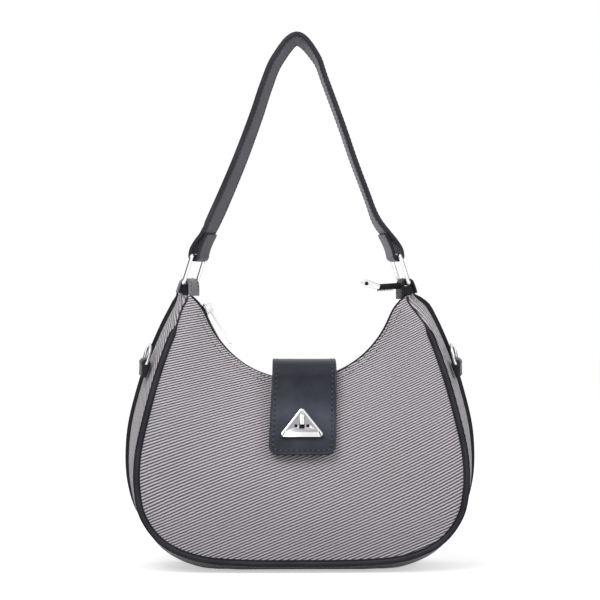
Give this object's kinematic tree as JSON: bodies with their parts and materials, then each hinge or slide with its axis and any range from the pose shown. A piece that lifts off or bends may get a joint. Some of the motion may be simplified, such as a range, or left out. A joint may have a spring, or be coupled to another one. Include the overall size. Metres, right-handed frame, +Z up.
{
  "type": "baguette bag",
  "caption": "Small curved shoulder bag: twill body with two horns, piped seams, zip mouth, leather flap with a sliding lock, and a leather strap on metal rings",
  "frame": {"origin": "The middle of the bag's base, at the height of the surface it stands on", "axes": "+Z is up, to the strap's crown. -Y is the front, with the flap and lock. +X is to the right, seen from the front"},
  "size_m": [0.282, 0.0878, 0.4234],
  "materials": {
    "twill": "mauve-grey cotton twill with fine dark diagonal lines",
    "leather": "smooth black calf leather with a soft sheen and tonal stitching",
    "lining": "dark woven cotton lining",
    "zip_tape": "black woven zip tape with dark metal teeth",
    "metal": "polished bright metal"
  },
  "bodies": {
    "root": {"front_panel": "twill", "back_panel": "twill", "gusset": "twill", "front_piping": "leather", "back_piping": "leather", "lining": "lining", "zip_tape_front": "zip_tape", "zip_tape_back": "zip_tape", "zip_stop_front": "metal", "zip_stop_back": "metal", "horn_tab_left": "leather", "horn_tab_right": "leather", "side_tab_left": "leather", "side_tab_right": "leather", "flap_anchor": "leather", "lock_catch": "metal", "lock_catch_washer": "metal"},
    "zip_slider": {"zip_slider": "metal"},
    "zip_puller": {"zip_puller": "metal"},
    "zip_tail": {"zip_tail": "leather", "zip_tail_cap": "metal"},
    "flap": {"flap": "leather", "flap_lining": "leather", "lock_plate": "metal", "lock_back_plate": "metal"},
    "lock_button": {"lock_button": "metal"},
    "ring_left": {"strap_ring_left": "metal"},
    "ring_right": {"strap_ring_right": "metal"},
    "strap_ends": {"strap_end_left": "leather", "strap_end_right": "leather"},
    "strap": {"strap": "leather"},
    "d_ring_left": {"d_ring_left": "metal"},
    "d_ring_right": {"d_ring_right": "metal"}
  },
  "joints": [
    {"name": "flap_lift", "type": "hinge", "parent": "root", "child": "flap", "pos_m": [0, 0.01568, 0.1575], "axis": [-1, 0, 0], "range_deg": [0, 130]},
    {"name": "lock_button_slide", "type": "slide", "parent": "flap", "child": "lock_button", "axis": [0, -0.2957, -0.9553], "range_m": [0, 0.0025], "stiffness_N_per_m": 150, "springref_m": -0.001},
    {"name": "zip_travel", "type": "hinge", "parent": "root", "child": "zip_slider", "pos_m": [0, 0, 0.2263], "axis": [0, -1, 0], "range_deg": [0, 123], "deforming": ["zip_tape_front", "zip_tape_back"]},
    {"name": "zip_puller_swing", "type": "hinge", "parent": "zip_slider", "child": "zip_puller", "pos_m": [-0.07297, 0, 0.20469], "axis": [0, -1, 0], "range_deg": [0, 120]},
    {"name": "zip_tail_bend", "type": "hinge", "parent": "root", "child": "zip_tail", "pos_m": [0.07096, 0, 0.22203], "axis": [0, 1, 0], "range_deg": [-35, 50]},
    {"name": "ring_left_rock", "type": "hinge", "parent": "root", "child": "ring_left", "pos_m": [-0.088, 0, 0.2242], "axis": [-0.3256, -0.9455, 0], "range_deg": [-10, 10]},
    {"name": "strap_sway", "type": "hinge", "parent": "ring_left", "child": "strap_ends", "pos_m": [-0.08091, -0.00244, 0.24637], "axis": [-0.3256, -0.9455, 0], "range_deg": [-10.95, 10.95]},
    {"name": "ring_right_rock", "type": "hinge", "parent": "strap_ends", "child": "ring_right", "pos_m": [0.07464, -0.00143, 0.24637], "axis": [0.1908, -0.9816, 0], "range_deg": [-9.4, 9.4]},
    {"name": "strap_fold", "type": "hinge", "parent": "strap_ends", "child": "strap", "pos_m": [0, 0, 0.2643], "axis": [1, 0, 0], "range_deg": [-110, 110], "deforming": ["strap_end_left", "strap_end_right"]},
    {"name": "d_ring_left_swing", "type": "hinge", "parent": "root", "child": "d_ring_left", "pos_m": [-0.12357, -0.0009, 0.16126], "axis": [0.2095, -0.9745, -0.0802], "range_deg": [0, 150]},
    {"name": "d_ring_right_swing", "type": "hinge", "parent": "root", "child": "d_ring_right", "pos_m": [0.12357, -0.0009, 0.16126], "axis": [0.2095, 0.9745, 0.0802], "range_deg": [0, 150]}
  ],
  "couplings": [
    {"joint": "strap_sway", "follows": "ring_left_rock", "ratio": -1.09},
    {"joint": "ring_right_rock", "follows": "ring_left_rock", "ratio": 0.93}
  ]
}
